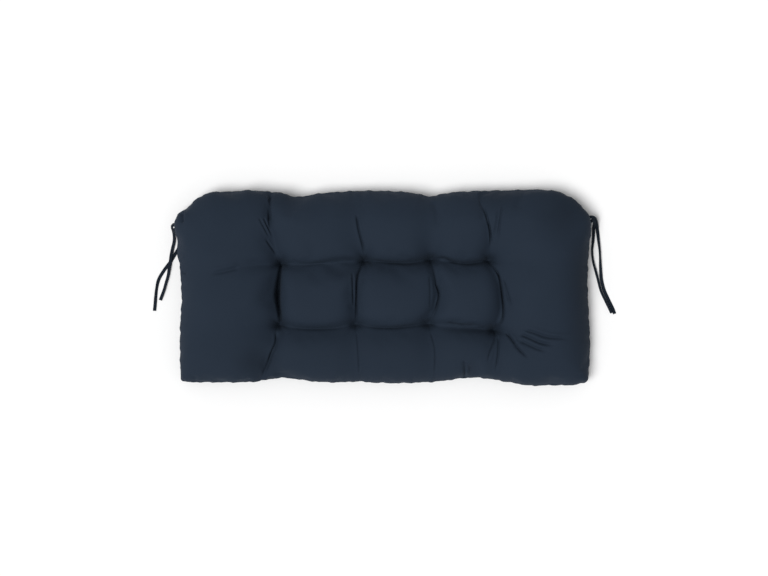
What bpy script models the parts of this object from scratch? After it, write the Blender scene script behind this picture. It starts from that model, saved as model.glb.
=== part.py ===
"""Tufted bench cushion, lying on its back: a cover sewn from two panels round
a fibre filling, eight stitched-through tufts, and a pair of ties sewn into
the seam at each rear corner.

Metres, +Z up. X runs along the bench, +Y is the rear edge. The origin is on
the surface that the cushion lies on, under the middle of its outline.
"""

from math import cos, hypot, pi, radians, sin

import bmesh
import bpy
import numpy as np

for item in list(bpy.data.objects):
    bpy.data.objects.remove(item)

# Driving sizes of the cushion.
HALF_LENGTH = 0.5170      # middle to seam, along the bench
HALF_DEPTH = 0.2430       # middle to seam, front to rear
REAR_RADIUS = 0.104       # rounded rear corners in plan
FRONT_RADIUS = 0.011      # front corners are nearly square
SEAM_HEIGHT = 0.045       # the seam above the surface
SEAM_BAND = 0.0024        # thickness of the sewn edge
CROWN = 0.060             # top panel above the seam, at a full puff
TOP_ROUND = 0.085         # distance from the seam over which the top rounds up
BASE_ROUND = 0.060        # the same for the underside
OUTLINE_STEP = 0.0015     # spacing of the outline's working points
RIM_EXACT = 0.003         # within this of the seam, only the nearest point counts

# Where the outline swells (+) or is drawn in (-).
# side, place along the side, push, reach
OUTLINE_WAVES = (
    ("rear", -0.388, -0.005, 0.018),
    ("rear", -0.348, 0.003, 0.020),
    ("rear", -0.219, -0.014, 0.022),
    ("rear", -0.200, -0.008, 0.090),
    ("rear", 0.115, -0.009, 0.030),
    ("rear", 0.120, -0.006, 0.090),
    ("rear", 0.390, 0.003, 0.060),
    ("front", -0.255, -0.013, 0.055),
    ("front", -0.070, -0.003, 0.020),
    ("front", 0.030, 0.002, 0.050),
    ("front", 0.224, -0.013, 0.070),
    ("front", 0.315, 0.003, 0.010),
    ("front", 0.375, 0.011, 0.035),
    ("front", 0.460, 0.009, 0.040),
    ("left", 0.196, -0.003, 0.012),
    ("left", 0.173, 0.012, 0.019),
    ("left", 0.140, 0.0095, 0.045),
    ("left", 0.077, 0.009, 0.014),
    ("left", -0.030, -0.004, 0.035),
    ("left", -0.160, 0.002, 0.060),
    ("right", 0.160, 0.008, 0.045),
    ("right", 0.010, -0.003, 0.060),
    ("right", -0.150, 0.004, 0.060),
)

# Where the seam is lifted (+) or sags (-).
# x, y, lift, reach
SEAM_LIFTS = (
    (-0.51, -0.24, -0.012, 0.110),
    (0.51, -0.24, -0.010, 0.110),
    (-0.49, 0.21, -0.006, 0.090),
    (0.49, 0.21, -0.006, 0.090),
    (-0.22, 0.23, 0.005, 0.050),
    (0.115, 0.23, 0.004, 0.050),
    (-0.26, -0.23, 0.004, 0.060),
    (0.224, -0.23, 0.004, 0.070),
)

# Panel lines: the four tuft columns, the two tuft rows and the inset lines
# between the tufted middle and the rounded rim. Each row lists x, y from left
# to right.
PANEL_LINES = (
    ("front_inset", ((-0.452, -0.182), (-0.286, -0.178), (-0.066, -0.180),
                     (0.126, -0.180), (0.281, -0.180), (0.452, -0.182))),
    ("front_tufts", ((-0.456, -0.098), (-0.264, -0.096), (-0.072, -0.094),
                     (0.110, -0.093), (0.277, -0.109), (0.456, -0.112))),
    ("back_tufts", ((-0.456, 0.034), (-0.260, 0.059), (-0.049, 0.066),
                    (0.1175, 0.070), (0.263, 0.067), (0.456, 0.064))),
    ("rear_inset", ((-0.434, 0.160), (-0.289, 0.178), (-0.069, 0.178),
                    (0.122, 0.176), (0.250, 0.178), (0.434, 0.160))),
)

# Where those columns and rows meet the seam.
FRONT_SEAM_X = (-0.312, -0.068, 0.127, 0.281)
REAR_SEAM_X = (-0.292, -0.071, 0.115, 0.238)
SIDE_SEAM_Y = (-0.105, 0.046)

# Grid cells between those lines, and rings from the inset lines to the seam.
CELLS_ACROSS = (10, 11, 11, 10, 10)
CELLS_ALONG = (7, 11, 10)
RIM_RINGS = (0.0, 0.30, 0.55, 0.75, 0.89, 0.97, 1.0)
CROWDING = 0.55           # how far grid lines crowd towards the folds

# Folds along the panel lines: how deep the panel is drawn down at the start,
# the middle and the end, and how far the fold reaches to its front or left
# side and to its rear or right side. Bow moves the fold's middle.
# line, first knot, bow, start, middle, end, near reach, far reach
ROW_FOLDS = (
    ("front_tufts", 0, 0.000, 0.000, 0.003, 0.024, 0.050, 0.050),
    ("front_tufts", 1, -0.0090, 0.034, 0.025, 0.034, 0.060, 0.034),
    ("front_tufts", 2, -0.0075, 0.034, 0.023, 0.034, 0.060, 0.034),
    ("front_tufts", 3, 0.0030, 0.034, 0.030, 0.038, 0.060, 0.030),
    ("front_tufts", 4, -0.012, 0.026, 0.006, 0.000, 0.050, 0.050),
    ("back_tufts", 0, 0.004, 0.002, 0.010, 0.028, 0.050, 0.030),
    ("back_tufts", 1, -0.004, 0.036, 0.026, 0.036, 0.070, 0.032),
    ("back_tufts", 2, -0.006, 0.036, 0.033, 0.040, 0.070, 0.030),
    ("back_tufts", 3, -0.007, 0.040, 0.033, 0.040, 0.070, 0.030),
    ("back_tufts", 4, 0.000, 0.026, 0.003, 0.000, 0.050, 0.050),
)

# The same for the columns. Rank 0 runs from the front inset to the front
# tufts, 1 between the tufts, 2 from the rear tufts to the rear inset.
# rank, column, bow, start, middle, end, left reach, right reach
COLUMN_FOLDS = (
    (0, 1, 0.006, 0.012, 0.017, 0.030, 0.055, 0.045),
    (0, 2, 0.000, 0.006, 0.009, 0.028, 0.045, 0.045),
    (0, 3, 0.008, 0.006, 0.009, 0.028, 0.045, 0.045),
    (0, 4, 0.006, 0.010, 0.014, 0.030, 0.045, 0.055),
    (1, 1, -0.008, 0.034, 0.040, 0.034, 0.048, 0.040),
    (1, 2, -0.010, 0.032, 0.025, 0.032, 0.042, 0.042),
    (1, 3, 0.021, 0.032, 0.024, 0.032, 0.042, 0.042),
    (1, 4, 0.022, 0.034, 0.029, 0.034, 0.040, 0.050),
    (2, 1, -0.006, 0.032, 0.018, 0.016, 0.050, 0.045),
    (2, 2, -0.004, 0.030, 0.012, 0.008, 0.045, 0.045),
    (2, 3, 0.000, 0.032, 0.013, 0.012, 0.050, 0.050),
    (2, 4, 0.010, 0.032, 0.016, 0.010, 0.045, 0.050),
)

# Folds that run on over the rim, from the inset lines to the seam.
# start x, start y, end x, end y, start depth, end depth, reach
RIM_FOLDS = (
    (-0.286, -0.178, -0.312, -0.236, 0.012, 0.010, 0.045),
    (-0.066, -0.180, -0.068, -0.238, 0.006, 0.005, 0.040),
    (0.126, -0.180, 0.127, -0.238, 0.006, 0.005, 0.040),
    (0.281, -0.180, 0.300, -0.236, 0.010, 0.012, 0.040),
    (0.232, -0.185, 0.224, -0.226, 0.004, 0.008, 0.035),
    (-0.289, 0.178, -0.222, 0.222, 0.006, 0.012, 0.040),
    (-0.289, 0.178, -0.292, 0.238, 0.016, 0.012, 0.035),
    (-0.069, 0.178, -0.071, 0.234, 0.008, 0.004, 0.040),
    (0.122, 0.176, 0.115, 0.226, 0.012, 0.014, 0.045),
    (0.250, 0.178, 0.238, 0.238, 0.010, 0.006, 0.040),
)

# Tufts, stitched right through: how far the top is drawn down, how far the
# underside is drawn up, and how wide each pull reaches.
# line, knot, top pull, base pull, reach
TUFTS = (
    ("front_tufts", 1, 0.050, 0.018, 0.056),
    ("front_tufts", 2, 0.048, 0.018, 0.052),
    ("front_tufts", 3, 0.048, 0.018, 0.052),
    ("front_tufts", 4, 0.052, 0.019, 0.058),
    ("back_tufts", 1, 0.052, 0.019, 0.058),
    ("back_tufts", 2, 0.050, 0.018, 0.054),
    ("back_tufts", 3, 0.053, 0.019, 0.056),
    ("back_tufts", 4, 0.053, 0.019, 0.056),
)

# Uneven filling: fuller (+) and thinner (-) places of the top.
# x, y, rise, reach along X, reach along Y
FILLING = (
    (-0.385, 0.090, 0.007, 0.090, 0.100),
    (-0.375, -0.050, 0.006, 0.080, 0.090),
    (-0.325, -0.190, -0.014, 0.058, 0.050),
    (-0.150, 0.145, 0.005, 0.080, 0.050),
    (0.030, 0.150, 0.007, 0.070, 0.050),
    (0.190, 0.150, 0.004, 0.060, 0.050),
    (-0.160, -0.035, 0.006, 0.080, 0.055),
    (0.025, -0.035, 0.008, 0.075, 0.055),
    (0.205, -0.045, 0.006, 0.060, 0.050),
    (-0.160, -0.170, 0.004, 0.080, 0.045),
    (0.030, -0.170, 0.006, 0.075, 0.045),
    (0.200, -0.150, 0.003, 0.060, 0.045),
    (0.385, 0.050, 0.008, 0.070, 0.130),
    (0.400, -0.150, 0.003, 0.080, 0.070),
    (0.450, 0.180, -0.006, 0.050, 0.050),
)

BASE_FOLD_SHARE = 0.35    # underside folds, as a share of the top ones
BASE_FOLD_REACH = 0.60    # their reach, as a share of the top ones
FOLD_BLEND = 4.0          # how sharply folds that meet take over from each other
LIP_LEAN = 0.006          # how far the puff behind a tuft row leans over the fold
FOLD_SAMPLES = 24         # working points along each fold

# Tie strips.
TIE_WIDTH = 0.0085
TIE_THICKNESS = 0.0018
TIE_STEP = 0.011          # spacing of the points along a strip
TIE_ROOT = (0, 0.002, 0.005, 0.009)   # closer points where it leaves the seam
FLOOR_GAP = 0.0002        # a strip's clearance over the surface

# Routes of the ties. Lift is the height of the strip's underside above the
# surface, and roll turns the strip about its own length.
# x, y, lift, roll in degrees
TIE_ROUTES = {
    "tie_left_outer": (
        (-0.5293, 0.1572, 0.0400, 0),
        (-0.5345, 0.1563, 0.0385, 10),
        (-0.5388, 0.1527, 0.0315, 45),
        (-0.5400, 0.1475, 0.0205, 75),
        (-0.5394, 0.1415, 0.0095, 85),
        (-0.5384, 0.1340, 0.0020, 80),
        (-0.5376, 0.1250, 0.0000, 60),
        (-0.5382, 0.1134, 0.0000, 35),
        (-0.5421, 0.0962, 0.0006, 10),
        (-0.5450, 0.0799, 0.0028, 0),
        (-0.5472, 0.0627, 0.0030, 0),
        (-0.5502, 0.0456, 0.0024, 10),
        (-0.5530, 0.0284, 0.0000, 22),
        (-0.5580, 0.0112, 0.0000, 30),
        (-0.5634, -0.0080, 0.0000, 30),
        (-0.5695, -0.0253, 0.0000, 12),
        (-0.5731, -0.0349, 0.0000, 0),
    ),
    "tie_left_inner": (
        (-0.5281, 0.1449, 0.0406, 0),
        (-0.5326, 0.1440, 0.0388, 10),
        (-0.5345, 0.1403, 0.0300, 45),
        (-0.5325, 0.1360, 0.0170, 60),
        (-0.5270, 0.1300, 0.0040, 40),
        (-0.5223, 0.1215, 0.0000, 0),
        (-0.5221, 0.1093, 0.0000, 0),
        (-0.5267, 0.0972, 0.0000, 5),
        (-0.5363, 0.0810, 0.0000, 0),
        (-0.5476, 0.0628, 0.0000, 0),
        (-0.5631, 0.0420, 0.0000, 0),
        (-0.5768, 0.0188, 0.0000, -12),
        (-0.5820, -0.0030, 0.0000, -40),
        (-0.5844, -0.0232, 0.0000, -30),
        (-0.5864, -0.0445, 0.0000, 0),
        (-0.5881, -0.0622, 0.0000, 0),
    ),
    "tie_right_outer": (
        (0.5183, 0.1739, 0.0393, 0),
        (0.5234, 0.1760, 0.0385, 0),
        (0.5320, 0.1740, 0.0325, 0),
        (0.5380, 0.1664, 0.0210, 5),
        (0.5415, 0.1568, 0.0085, 12),
        (0.5438, 0.1447, 0.0008, 20),
        (0.5460, 0.1265, 0.0000, 30),
        (0.5477, 0.1093, 0.0000, 50),
        (0.5497, 0.0911, 0.0000, 62),
        (0.5507, 0.0709, 0.0000, 62),
        (0.5520, 0.0456, 0.0000, 35),
        (0.5545, 0.0183, 0.0000, 10),
        (0.5611, -0.0080, 0.0000, 0),
        (0.5722, -0.0333, 0.0000, 0),
        (0.5834, -0.0566, 0.0000, 0),
        (0.5884, -0.0698, 0.0000, 0),
    ),
    "tie_right_inner": (
        (0.5224, 0.1650, 0.0398, 0),
        (0.5275, 0.1673, 0.0388, 0),
        (0.5329, 0.1618, 0.0290, 0),
        (0.5336, 0.1543, 0.0150, 0),
        (0.5340, 0.1456, 0.0040, 8),
        (0.5341, 0.1316, 0.0000, 30),
        (0.5325, 0.1134, 0.0000, 45),
        (0.5303, 0.0911, 0.0000, 60),
        (0.5325, 0.0668, 0.0000, 60),
        (0.5392, 0.0405, 0.0000, 55),
        (0.5452, 0.0183, 0.0000, 55),
        (0.5530, -0.0111, 0.0000, 55),
        (0.5641, -0.0354, 0.0000, 55),
        (0.5751, -0.0576, 0.0000, 50),
        (0.5803, -0.0678, 0.0000, 45),
    ),
}


def make_material(name, colour, roughness):
    """A plain woven cloth finish."""
    material = bpy.data.materials.new(name)
    material.use_nodes = True
    shader = material.node_tree.nodes["Principled BSDF"]
    shader.inputs["Base Color"].default_value = (*colour, 1.0)
    shader.inputs["Roughness"].default_value = roughness
    shader.inputs["Metallic"].default_value = 0.0
    material.diffuse_color = (*colour, 1.0)
    return material


def plain_outline():
    """The rounded rectangle of the seam, anticlockwise from the middle of
    the front left corner, with outward normals and each point's side."""
    corners = (
        ("front", -1, -1, FRONT_RADIUS, 1.25),
        ("right", 1, -1, FRONT_RADIUS, 1.75),
        ("rear", 1, 1, REAR_RADIUS, 0.25),
        ("left", -1, 1, REAR_RADIUS, 0.75),
    )
    points = []
    normals = []
    sides = []
    for number, (side, sign_x, sign_y, radius, turn) in enumerate(corners):
        after = corners[(number + 1) % 4]
        start = np.array((sign_x * (HALF_LENGTH - radius), sign_y * (HALF_DEPTH - radius)))
        end = np.array((after[1] * (HALF_LENGTH - after[3]), after[2] * (HALF_DEPTH - after[3])))
        straight = turn + 0.25
        facing = np.array((cos(straight * pi), sin(straight * pi)))
        arc_steps = max(4, round(radius * pi / 4 / OUTLINE_STEP))
        for step in range(arc_steps):
            angle = (turn + 0.25 * step / arc_steps) * pi
            normal = np.array((cos(angle), sin(angle)))
            points.append(start + radius * normal)
            normals.append(normal)
            sides.append(side)
        first = start + radius * facing
        last = end + after[3] * facing
        run_steps = round(hypot(*(last - first)) / OUTLINE_STEP)
        for step in range(run_steps):
            points.append(first + (last - first) * step / run_steps)
            normals.append(facing)
            sides.append(side)
        arc_steps = max(4, round(after[3] * pi / 4 / OUTLINE_STEP))
        for step in range(arc_steps):
            angle = (straight + 0.25 * step / arc_steps) * pi
            normal = np.array((cos(angle), sin(angle)))
            points.append(end + after[3] * normal)
            normals.append(normal)
            sides.append(side)
    return np.array(points), np.array(normals), sides


def seam_outline():
    """The outline with its swells and draws, and each point's side."""
    points, normals, sides = plain_outline()
    pushes = np.zeros(len(points))
    for side, place, push, reach in OUTLINE_WAVES:
        along = 0 if side in ("front", "rear") else 1
        facing = {"front": (1, -1), "rear": (1, 1), "left": (0, -1), "right": (0, 1)}[side]
        towards = np.clip(normals[:, facing[0]] * facing[1], 0, 1)
        pushes += push * towards * np.exp(-((points[:, along] - place) / reach) ** 2)
    return points + normals * pushes[:, None], sides


def seam_height(x, y):
    """The seam's height above the surface, over the whole plan."""
    height = SEAM_HEIGHT + 0.0 * x
    for at_x, at_y, lift, reach in SEAM_LIFTS:
        height = height + lift * np.exp(-((x - at_x) ** 2 + (y - at_y) ** 2) / reach ** 2)
    return height


OUTLINE, OUTLINE_SIDES = seam_outline()


def side_points(side):
    """One side of the outline, corner to corner, in growing x or y."""
    chosen = [point for point, name in zip(OUTLINE, OUTLINE_SIDES) if name == side]
    following = {"front": "right", "right": "rear", "rear": "left", "left": "front"}[side]
    chosen.append(OUTLINE[OUTLINE_SIDES.index(following)])
    chosen = np.array(chosen)
    return chosen[::-1] if side in ("rear", "left") else chosen


def crowded(count):
    """Fractions from 0 to 1 that crowd towards both ends."""
    even = np.linspace(0, 1, count + 1)
    return even - CROWDING * np.sin(2 * pi * even) / (2 * pi)


def fold_curve(start, end, bow, axis, places):
    """Points on the line from start to end, bowed along one axis."""
    start = np.array(start)
    end = np.array(end)
    points = start + (end - start) * places[:, None]
    points[:, axis] += bow * np.sin(pi * places)
    return points


def row_bow(line, knot):
    for name, first, bow, *_ in ROW_FOLDS:
        if (name, first) == (line, knot):
            return bow
    return 0.0


def column_bow(rank, column):
    for at_rank, at_column, bow, *_ in COLUMN_FOLDS:
        if (at_rank, at_column) == (rank, column):
            return bow
    return 0.0


def cell_patch(rank, column):
    """Plan points of one cell, blended between its four bounding lines."""
    front_name, front = PANEL_LINES[rank]
    rear_name, rear = PANEL_LINES[rank + 1]
    across = crowded(CELLS_ACROSS[column])
    along = crowded(CELLS_ALONG[rank])
    low = fold_curve(front[column], front[column + 1], row_bow(front_name, column), 1, across)
    high = fold_curve(rear[column], rear[column + 1], row_bow(rear_name, column), 1, across)
    left = fold_curve(front[column], rear[column], column_bow(rank, column), 0, along)
    right = fold_curve(front[column + 1], rear[column + 1], column_bow(rank, column + 1), 0, along)
    u = across[None, :, None]
    v = along[:, None, None]
    rows = low[None] * (1 - v) + high[None] * v
    columns = left[:, None] * (1 - u) + right[:, None] * u
    corners = (low[0] * (1 - u) * (1 - v) + low[-1] * u * (1 - v)
               + high[0] * (1 - u) * v + high[-1] * u * v)
    return rows + columns - corners


def panel_grid():
    """Plan points of the tufted middle, as rows from front to rear."""
    bands = []
    for rank in range(len(CELLS_ALONG)):
        cells = [cell_patch(rank, column) for column in range(len(CELLS_ACROSS))]
        joined = [cells[0]] + [cell[:, 1:] for cell in cells[1:]]
        band = np.concatenate(joined, axis=1)
        bands.append(band if rank == 0 else band[1:])
    return np.concatenate(bands, axis=0)


def seam_stations(side, knots, counts):
    """Seam points opposite the grid's edge points, for one side."""
    points = side_points(side)
    along = 0 if side in ("front", "rear") else 1
    lengths = np.concatenate(([0], np.cumsum(np.hypot(*np.diff(points, axis=0).T))))
    at_knots = [0.0]
    for knot in knots:
        at_knots.append(lengths[np.argmin(np.abs(points[:, along] - knot))])
    at_knots.append(lengths[-1])
    places = [0.0]
    for number, count in enumerate(counts):
        stretch = at_knots[number + 1] - at_knots[number]
        places.extend(at_knots[number] + stretch * crowded(count)[1:])
    return np.column_stack([np.interp(places, lengths, points[:, axis]) for axis in (0, 1)])


def seam_distance(points):
    """Distance from each plan point to the seam. Further in, the whole seam
    counts, so the crown is smooth over the corners."""
    gaps = points[:, None, :] - OUTLINE[None, :, :]
    squares = (gaps ** 2).sum(axis=2)
    runs = np.roll(OUTLINE, -1, axis=0) - OUTLINE
    places = np.clip((gaps * runs).sum(axis=2) / (runs ** 2).sum(axis=1), 0, 1)
    offsets = gaps - places[:, :, None] * runs
    nearest = np.sqrt((offsets ** 2).sum(axis=2).min(axis=1))
    all_round = (OUTLINE_STEP * (np.maximum(squares, 1e-12) ** -2).sum(axis=1) * 2 / pi) ** (-1 / 3)
    return np.where(nearest < RIM_EXACT, nearest, all_round)


def fold_table():
    """Every fold as sampled points, depths and reaches."""
    places = np.linspace(0, 1, FOLD_SAMPLES)
    lines = dict(PANEL_LINES)
    folds = []
    for line, knot, bow, start, middle, end, near, far in ROW_FOLDS:
        curve = fold_curve(lines[line][knot], lines[line][knot + 1], bow, 1, places)
        folds.append((curve, three_depths(places, start, middle, end), far, near))
    for rank, column, bow, start, middle, end, left, right in COLUMN_FOLDS:
        front = PANEL_LINES[rank][1][column]
        rear = PANEL_LINES[rank + 1][1][column]
        curve = fold_curve(front, rear, bow, 0, places)
        folds.append((curve, three_depths(places, start, middle, end), left, right))
    for start_x, start_y, end_x, end_y, start, end, reach in RIM_FOLDS:
        curve = fold_curve((start_x, start_y), (end_x, end_y), 0, 0, places)
        folds.append((curve, three_depths(places, start, (start + end) / 2, end), reach, reach))
    return folds


def three_depths(places, start, middle, end):
    """A smooth depth along a fold through its three stated depths."""
    return (start * (1 - places) * (1 - 2 * places) + 4 * middle * places * (1 - places)
            + end * places * (2 * places - 1))


def pulls(points, share, reach_share, tuft_pull):
    """How far folds and tufts draw a panel in, at each plan point."""
    total = np.zeros(len(points))
    for curve, depths, left_reach, right_reach in fold_table():
        gaps = points[:, None, :] - curve[None, :, :]
        distance = np.sqrt((gaps ** 2).sum(axis=2))
        nearest = distance.argmin(axis=1)
        run = np.gradient(curve, axis=0)[nearest]
        offset = gaps[np.arange(len(points)), nearest]
        on_left = run[:, 0] * offset[:, 1] - run[:, 1] * offset[:, 0] > 0
        reach = reach_share * np.where(on_left, left_reach, right_reach)
        closeness = np.clip(1 - distance.min(axis=1) / reach, 0, 1)
        total += (share * np.maximum(depths[nearest], 0) * closeness ** 2) ** FOLD_BLEND
    lines = dict(PANEL_LINES)
    for line, knot, top_pull, base_pull, reach in TUFTS:
        pull = top_pull if tuft_pull == "top" else base_pull
        distance = np.hypot(*(points - np.array(lines[line][knot])).T)
        closeness = np.clip(1 - distance / (reach_share * reach), 0, 1)
        total += (pull * closeness ** 2) ** FOLD_BLEND
    return total ** (1 / FOLD_BLEND)


def lean_forward(points):
    """Plan points of the top, with the lips behind the tuft rows leant over."""
    places = np.linspace(0, 1, FOLD_SAMPLES)
    lines = dict(PANEL_LINES)
    shift = np.zeros(len(points))
    for line, knot, bow, start, middle, end, near, far in ROW_FOLDS:
        curve = fold_curve(lines[line][knot], lines[line][knot + 1], bow, 1, places)
        gaps = points[:, None, :] - curve[None, :, :]
        distance = np.sqrt((gaps ** 2).sum(axis=2))
        nearest = distance.argmin(axis=1)
        behind = gaps[np.arange(len(points)), nearest, 1] > 0
        closeness = np.clip(1 - distance.min(axis=1) / far, 0, 1) * behind
        share = np.sin(pi * places[nearest]) * min(1, middle / 0.025)
        shift = np.maximum(shift, share * 4 * closeness * (1 - closeness))
    return points - np.column_stack((0 * shift, LIP_LEAN * shift))


def rounding(distance, reach):
    """0 at the seam to 1 where a panel has rounded up to its full height."""
    inward = np.clip(distance / reach, 0, 1)
    return np.sqrt(1 - (1 - inward) ** 2)


def top_height(points):
    """Height of the top panel over each plan point."""
    x, y = points.T
    rise = CROWN + 0.0 * x
    for at_x, at_y, fill, reach_x, reach_y in FILLING:
        rise = rise + fill * np.exp(-((x - at_x) / reach_x) ** 2 - ((y - at_y) / reach_y) ** 2)
    rounded = rounding(seam_distance(points), TOP_ROUND)
    drawn = pulls(points, 1.0, 1.0, "top")
    return seam_height(x, y) + SEAM_BAND / 2 + (rise - drawn) * rounded


def base_height(points):
    """Height of the underside, flat on the surface where it bears."""
    x, y = points.T
    edge = seam_height(x, y) - SEAM_BAND / 2
    rounded = rounding(seam_distance(points), BASE_ROUND)
    drawn = pulls(points, BASE_FOLD_SHARE, BASE_FOLD_REACH, "base")
    return edge * (1 - rounded) + drawn * rounded


def panel_rings():
    """Plan points of the rings, each a closed loop from the inset line out."""
    grid = panel_grid()
    inner = np.concatenate((grid[0, :-1], grid[:-1, -1], grid[-1, :0:-1], grid[:0:-1, 0]))
    front = seam_stations("front", FRONT_SEAM_X, CELLS_ACROSS)
    right = seam_stations("right", SIDE_SEAM_Y, CELLS_ALONG)
    rear = seam_stations("rear", REAR_SEAM_X, CELLS_ACROSS)
    left = seam_stations("left", SIDE_SEAM_Y, CELLS_ALONG)
    outer = np.concatenate((front[:-1], right[:-1], rear[:0:-1], left[:0:-1]))
    return grid, [inner + (outer - inner) * share for share in RIM_RINGS]


def add_panel(mesh, height, place):
    """One panel of the cover. Returns its edge loop, in ring order."""
    grid, rings = panel_rings()
    rows, columns = grid.shape[:2]
    flat = grid.reshape(-1, 2)
    level = height(flat).reshape(rows, columns)
    grid = place(flat).reshape(rows, columns, 2)
    made = bmesh.ops.create_grid(mesh, x_segments=columns - 1, y_segments=rows - 1, size=1)
    lattice = {}
    for vertex in made["verts"]:
        column = round((vertex.co.x + 1) / 2 * (columns - 1))
        row = round((vertex.co.y + 1) / 2 * (rows - 1))
        lattice[row, column] = vertex
        vertex.co = (*grid[row, column], level[row, column])
    loop = [lattice[0, column] for column in range(columns - 1)]
    loop += [lattice[row, columns - 1] for row in range(rows - 1)]
    loop += [lattice[rows - 1, column] for column in range(columns - 1, 0, -1)]
    loop += [lattice[row, 0] for row in range(rows - 1, 0, -1)]
    for ring in rings[1:]:
        levels = height(ring)
        wider = [mesh.verts.new((*point, z)) for point, z in zip(ring, levels)]
        for number in range(len(ring)):
            after = (number + 1) % len(ring)
            mesh.faces.new((loop[number], loop[after], wider[after], wider[number]))
        loop = wider
    return loop


def make_cushion():
    """The cover and its filling, one closed solid."""
    mesh = bmesh.new()
    top = add_panel(mesh, top_height, lean_forward)
    base = add_panel(mesh, base_height, np.array)
    for number in range(len(top)):
        after = (number + 1) % len(top)
        mesh.faces.new((base[number], base[after], top[after], top[number]))
    bmesh.ops.recalc_face_normals(mesh, faces=mesh.faces)
    data = bpy.data.meshes.new("cushion")
    mesh.to_mesh(data)
    mesh.free()
    data.shade_smooth()
    cushion = bpy.data.objects.new("cushion", data)
    bpy.context.collection.objects.link(cushion)
    return cushion


def smooth_route(rows):
    """Points on one smooth curve through a route's rows, evenly spaced
    after the root."""
    rows = np.array(rows, dtype=float)
    padded = np.vstack((2 * rows[0] - rows[1], rows, 2 * rows[-1] - rows[-2]))
    fine = []
    for first in range(len(rows) - 1):
        before, start, end, after = padded[first:first + 4]
        for t in np.linspace(0, 1, 20, endpoint=False):
            bend = 2 * before - 5 * start + 4 * end - after
            twist = 3 * start - before - 3 * end + after
            fine.append(0.5 * (2 * start + (end - before) * t + bend * t ** 2 + twist * t ** 3))
    fine.append(rows[-1])
    fine = np.array(fine)
    lengths = np.concatenate(([0], np.cumsum(np.linalg.norm(np.diff(fine[:, :3], axis=0), axis=1))))
    count = round(lengths[-1] / TIE_STEP)
    places = np.concatenate((TIE_ROOT[:-1], np.linspace(TIE_ROOT[-1], lengths[-1], count)))
    return np.column_stack([np.interp(places, lengths, fine[:, axis]) for axis in range(4)])


def make_tie(name, rows):
    """One flat strip of folded cloth along its route."""
    curve = bpy.data.curves.new(name, "CURVE")
    curve.dimensions = "3D"
    curve.twist_mode = "Z_UP"
    curve.bevel_depth = TIE_THICKNESS / 2
    curve.extrude = (TIE_WIDTH - TIE_THICKNESS) / 2
    curve.bevel_resolution = 2
    curve.use_fill_caps = True
    points = smooth_route(rows)
    spline = curve.splines.new("POLY")
    spline.points.add(len(points) - 1)
    for point, (x, y, lift, roll) in zip(spline.points, points):
        roll = radians(roll)
        stand = abs(sin(roll)) * curve.extrude + TIE_THICKNESS / 2
        point.co = (x, y, FLOOR_GAP + max(lift, 0) + stand, 1)
        point.tilt = pi / 2 + roll
    tie = bpy.data.objects.new(name, curve)
    bpy.context.collection.objects.link(tie)
    return tie


cover = make_material("cover_cloth", (0.021, 0.032, 0.048), 0.85)
cushion = make_cushion()
cushion.data.materials.append(cover)

tie_cloth = make_material("tie_cloth", (0.012, 0.018, 0.027), 0.85)
for tie_name, route in TIE_ROUTES.items():
    tie = make_tie(tie_name, route)
    tie.data.materials.append(tie_cloth)
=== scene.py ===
from math import cos, pi, radians, sin

import bmesh
import bpy
import numpy as np
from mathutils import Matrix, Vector


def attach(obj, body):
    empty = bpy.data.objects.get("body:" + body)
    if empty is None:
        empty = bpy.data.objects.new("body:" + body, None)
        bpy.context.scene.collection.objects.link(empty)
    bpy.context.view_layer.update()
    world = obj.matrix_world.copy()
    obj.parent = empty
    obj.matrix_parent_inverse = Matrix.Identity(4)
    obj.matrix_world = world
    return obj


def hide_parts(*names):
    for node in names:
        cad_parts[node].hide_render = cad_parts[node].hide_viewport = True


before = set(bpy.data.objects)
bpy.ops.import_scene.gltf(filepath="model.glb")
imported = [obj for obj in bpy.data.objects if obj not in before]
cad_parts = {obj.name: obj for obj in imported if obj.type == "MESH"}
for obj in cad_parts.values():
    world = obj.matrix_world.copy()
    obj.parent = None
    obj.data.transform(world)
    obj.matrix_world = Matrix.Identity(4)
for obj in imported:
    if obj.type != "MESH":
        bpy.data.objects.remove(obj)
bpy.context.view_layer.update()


# The camera looks straight down on the cushion's face, as in the photo, with
# the rear edge at the top. A long lens keeps the outline as the photo has it.
CAMERA_DISTANCE = 4.2
METRES_ACROSS = 1.941
FRAME_MIDDLE = (-0.0013, -0.0038)
SENSOR_WIDTH = 36.0
FACE_HEIGHT = 0.05

bpy.ops.object.select_all(action="DESELECT")
bpy.ops.object.camera_add(
    location=(FRAME_MIDDLE[0], FRAME_MIDDLE[1], FACE_HEIGHT + CAMERA_DISTANCE),
    rotation=(0, 0, 0),
)
camera = bpy.context.object
camera.name = "camera"
camera.data.sensor_width = SENSOR_WIDTH
camera.data.lens = SENSOR_WIDTH * CAMERA_DISTANCE / METRES_ACROSS
camera.data.clip_end = 50
bpy.context.scene.camera = camera


# The ties are narrow strips of the cover's cloth, folded in on both edges and
# stitched flat. Each pair is caught in the seam at a rear corner, hangs down
# to the surface and lies there in its own loose line, with cut free ends.
TIE_WIDTH = 0.0085
TIE_THICKNESS = 0.0018
TIE_STEP = 0.0025
TIE_EDGE_POINTS = 3
TIE_FACE_SHARES = (-0.55, 0.0, 0.55)
FLOOR_GAP = 0.0002
# How far each strip runs into the seam.
SEWN_IN = 0.001

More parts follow.
